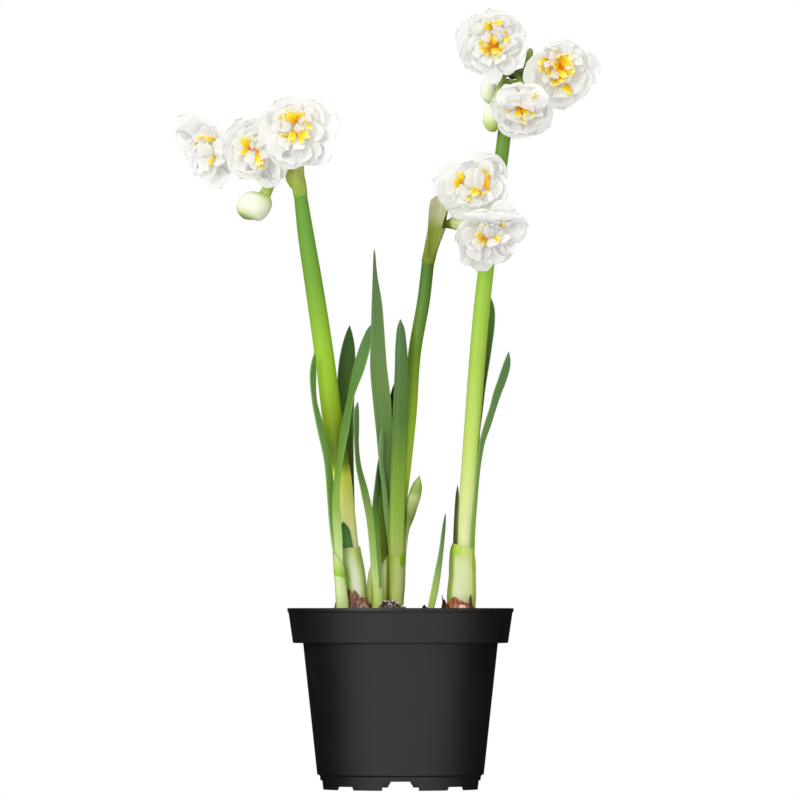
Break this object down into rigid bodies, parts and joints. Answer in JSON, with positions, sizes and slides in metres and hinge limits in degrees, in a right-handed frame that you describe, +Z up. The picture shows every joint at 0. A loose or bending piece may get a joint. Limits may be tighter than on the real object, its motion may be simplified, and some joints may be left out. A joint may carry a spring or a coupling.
{
  "type": "potted daffodil",
  "caption": "Double-flowered white daffodils with orange-yellow middles, standing with strap leaves in a round black nursery pot.",
  "frame": {"origin": "centre of the bounding box's footprint, on the surface that the pot's foot ring stands on; the pot's axis is 7.7 mm to the right of it", "axes": "+Z up along the pot's axis, the longest extent; +X to the right in the picture and +Y away from the viewer"},
  "size_m": [0.2448, 0.1302, 0.4477],
  "materials": {
    "pot": "satin black moulded plastic",
    "soil": "rough dark peat",
    "bulb_left": "dry papery brown tunic",
    "bulb_middle": "dry papery brown tunic",
    "bulb_right": "dry papery brown tunic",
    "sheath_left_stem": "pale whitish green skin, satin",
    "sheath_left_leaves": "pale whitish green skin, satin",
    "sheath_front": "pale whitish green skin, satin",
    "sheath_middle": "pale whitish green skin, satin",
    "sheath_middle_side": "pale whitish green skin, satin",
    "sheath_right": "pale whitish green skin, satin",
    "stem_left": "smooth yellow green, satin",
    "stem_middle": "smooth yellow green, satin",
    "stem_right": "smooth yellow green, satin",
    "young_bud": "smooth green, satin",
    "leaf_left_outer": "bluish green with fine lengthwise veins, satin",
    "leaf_left_long": "bluish green with fine lengthwise veins, satin",
    "leaf_left_broad": "bluish green with fine lengthwise veins, satin",
    "leaf_left_short": "bluish green with fine lengthwise veins, satin",
    "leaf_front": "bluish green with fine lengthwise veins, satin",
    "leaf_front_back": "bluish green with fine lengthwise veins, satin",
    "leaf_middle_tall": "bluish green with fine lengthwise veins, satin",
    "leaf_middle_blunt": "bluish green with fine lengthwise veins, satin",
    "leaf_middle_narrow": "bluish green with fine lengthwise veins, satin",
    "leaf_middle_dark": "bluish green with fine lengthwise veins, satin",
    "leaf_middle_olive": "bluish green with fine lengthwise veins, satin",
    "leaf_lone": "bluish green with fine lengthwise veins, satin",
    "leaf_right_arched": "bluish green with fine lengthwise veins, satin",
    "leaf_right_side": "bluish green with fine lengthwise veins, satin",
    "leaf_right_short": "bluish green with fine lengthwise veins, satin",
    "bloom_left_right_petals": "soft white, faintly see-through",
    "bloom_left_middle_petals": "soft white, faintly see-through",
    "bloom_left_left_petals": "soft white, faintly see-through",
    "bloom_middle_upper_petals": "soft white, faintly see-through",
    "bloom_middle_lower_petals": "soft white, faintly see-through",
    "bloom_right_left_petals": "soft white, faintly see-through",
    "bloom_right_right_petals": "soft white, faintly see-through",
    "bloom_right_lower_petals": "soft white, faintly see-through",
    "bloom_left_right_corona": "ruffled orange yellow",
    "bloom_left_middle_corona": "ruffled orange yellow",
    "bloom_left_left_corona": "ruffled orange yellow",
    "bloom_middle_upper_corona": "ruffled orange yellow",
    "bloom_middle_lower_corona": "ruffled orange yellow",
    "bloom_right_left_corona": "ruffled orange yellow",
    "bloom_right_right_corona": "ruffled orange yellow",
    "bloom_right_lower_corona": "ruffled orange yellow",
    "bud_left": "greenish white, satin",
    "bud_right_upper": "greenish white, satin",
    "bud_right_lower": "greenish white, satin",
    "spathe_left": "olive skin drying to tan",
    "spathe_middle": "olive skin drying to tan",
    "spathe_right": "olive skin drying to tan",
    "pedicels_left": "smooth green, satin",
    "pedicels_middle": "smooth green, satin",
    "pedicels_right": "smooth green, satin"
  },
  "bodies": {
    "root": {"pot": "pot", "soil": "soil", "bulb_left": "bulb_left", "bulb_middle": "bulb_middle", "bulb_right": "bulb_right", "sheath_left_stem": "sheath_left_stem", "sheath_left_leaves": "sheath_left_leaves", "sheath_front": "sheath_front", "sheath_middle": "sheath_middle", "sheath_middle_side": "sheath_middle_side", "sheath_right": "sheath_right", "stem_left": "stem_left", "stem_middle": "stem_middle", "stem_right": "stem_right", "young_bud": "young_bud", "leaf_left_outer": "leaf_left_outer", "leaf_left_long": "leaf_left_long", "leaf_left_broad": "leaf_left_broad", "leaf_left_short": "leaf_left_short", "leaf_front": "leaf_front", "leaf_front_back": "leaf_front_back", "leaf_middle_tall": "leaf_middle_tall", "leaf_middle_blunt": "leaf_middle_blunt", "leaf_middle_narrow": "leaf_middle_narrow", "leaf_middle_dark": "leaf_middle_dark", "leaf_middle_olive": "leaf_middle_olive", "leaf_lone": "leaf_lone", "leaf_right_arched": "leaf_right_arched", "leaf_right_side": "leaf_right_side", "leaf_right_short": "leaf_right_short", "bloom_left_right_petals": "bloom_left_right_petals", "bloom_left_middle_petals": "bloom_left_middle_petals", "bloom_left_left_petals": "bloom_left_left_petals", "bloom_middle_upper_petals": "bloom_middle_upper_petals", "bloom_middle_lower_petals": "bloom_middle_lower_petals", "bloom_right_left_petals": "bloom_right_left_petals", "bloom_right_right_petals": "bloom_right_right_petals", "bloom_right_lower_petals": "bloom_right_lower_petals", "bloom_left_right_corona": "bloom_left_right_corona", "bloom_left_middle_corona": "bloom_left_middle_corona", "bloom_left_left_corona": "bloom_left_left_corona", "bloom_middle_upper_corona": "bloom_middle_upper_corona", "bloom_middle_lower_corona": "bloom_middle_lower_corona", "bloom_right_left_corona": "bloom_right_left_corona", "bloom_right_right_corona": "bloom_right_right_corona", "bloom_right_lower_corona": "bloom_right_lower_corona", "bud_left": "bud_left", "bud_right_upper": "bud_right_upper", "bud_right_lower": "bud_right_lower", "spathe_left": "spathe_left", "spathe_middle": "spathe_middle", "spathe_right": "spathe_right", "pedicels_left": "pedicels_left", "pedicels_middle": "pedicels_middle", "pedicels_right": "pedicels_right"}
  },
  "joints": []
}
